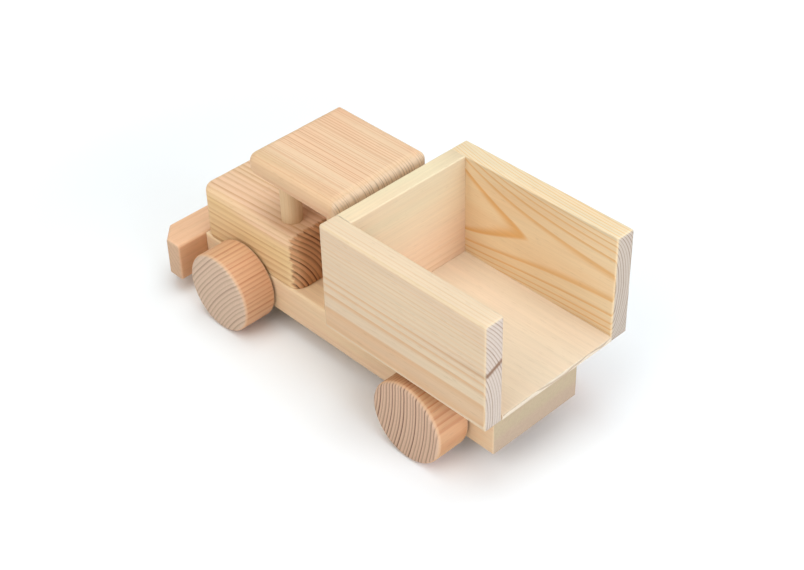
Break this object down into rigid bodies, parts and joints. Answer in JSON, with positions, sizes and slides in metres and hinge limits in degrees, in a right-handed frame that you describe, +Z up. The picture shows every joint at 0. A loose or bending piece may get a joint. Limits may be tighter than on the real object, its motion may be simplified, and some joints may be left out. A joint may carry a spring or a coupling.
{
  "type": "toy dump truck",
  "caption": "Wooden toy dump truck: chassis board, hood block, posted roof, bumper, disc wheels on dowel axles and an open-backed bed that tips on a rear hinge.",
  "frame": {"origin": "on the ground under the middle of the truck's overall length and width", "axes": "+X towards the truck's front, +Y towards its left side, +Z up"},
  "size_m": [0.2296, 0.0958, 0.1027],
  "materials": {
    "chassis_board": "bare sanded pine, plain grain",
    "hood_wood": "bare sanded pine, bold grain",
    "roof_wood": "bare sanded pine, fine straight grain",
    "bumper_wood": "bare sanded pine",
    "wheel_wood": "bare sanded pine disc, end-grain faces",
    "wall_wood": "bare sanded pine board",
    "plywood": "bare smooth plywood",
    "dowel_wood": "bare hardwood dowel",
    "hinge_wood": "bare sanded pine"
  },
  "bodies": {
    "chassis": {"chassis": "chassis_board", "hood_block": "hood_wood", "roof": "roof_wood", "bumper": "bumper_wood", "roof_post_front_left": "dowel_wood", "roof_post_front_right": "dowel_wood", "roof_post_rear_left": "dowel_wood", "roof_post_rear_right": "dowel_wood", "hood_dowels": "dowel_wood", "bumper_dowels": "dowel_wood", "hinge_cheek_left": "hinge_wood", "hinge_cheek_right": "hinge_wood", "hinge_pin": "dowel_wood", "rest_block": "hinge_wood"},
    "front_wheelset": {"axle_front": "dowel_wood", "wheel_front_left": "wheel_wood", "wheel_front_right": "wheel_wood"},
    "rear_wheelset": {"axle_rear": "dowel_wood", "wheel_rear_left": "wheel_wood", "wheel_rear_right": "wheel_wood"},
    "dump_bed": {"bed_floor": "plywood", "bed_wall_left": "wall_wood", "bed_wall_right": "wall_wood", "bed_wall_front": "wall_wood", "bed_wall_pins": "dowel_wood", "hinge_bar": "hinge_wood"}
  },
  "joints": [
    {"name": "front_axle_spin", "type": "hinge", "parent": "chassis", "child": "front_wheelset", "pos_m": [0.0633, 0, 0.021], "axis": [0, 1, 0], "continuous": true},
    {"name": "rear_axle_spin", "type": "hinge", "parent": "chassis", "child": "rear_wheelset", "pos_m": [-0.0679, 0, 0.021], "axis": [0, 1, 0], "continuous": true},
    {"name": "bed_tilt", "type": "hinge", "parent": "chassis", "child": "dump_bed", "pos_m": [-0.0888, 0, 0.0384], "axis": [0, -1, 0], "range_deg": [0, 50]}
  ]
}
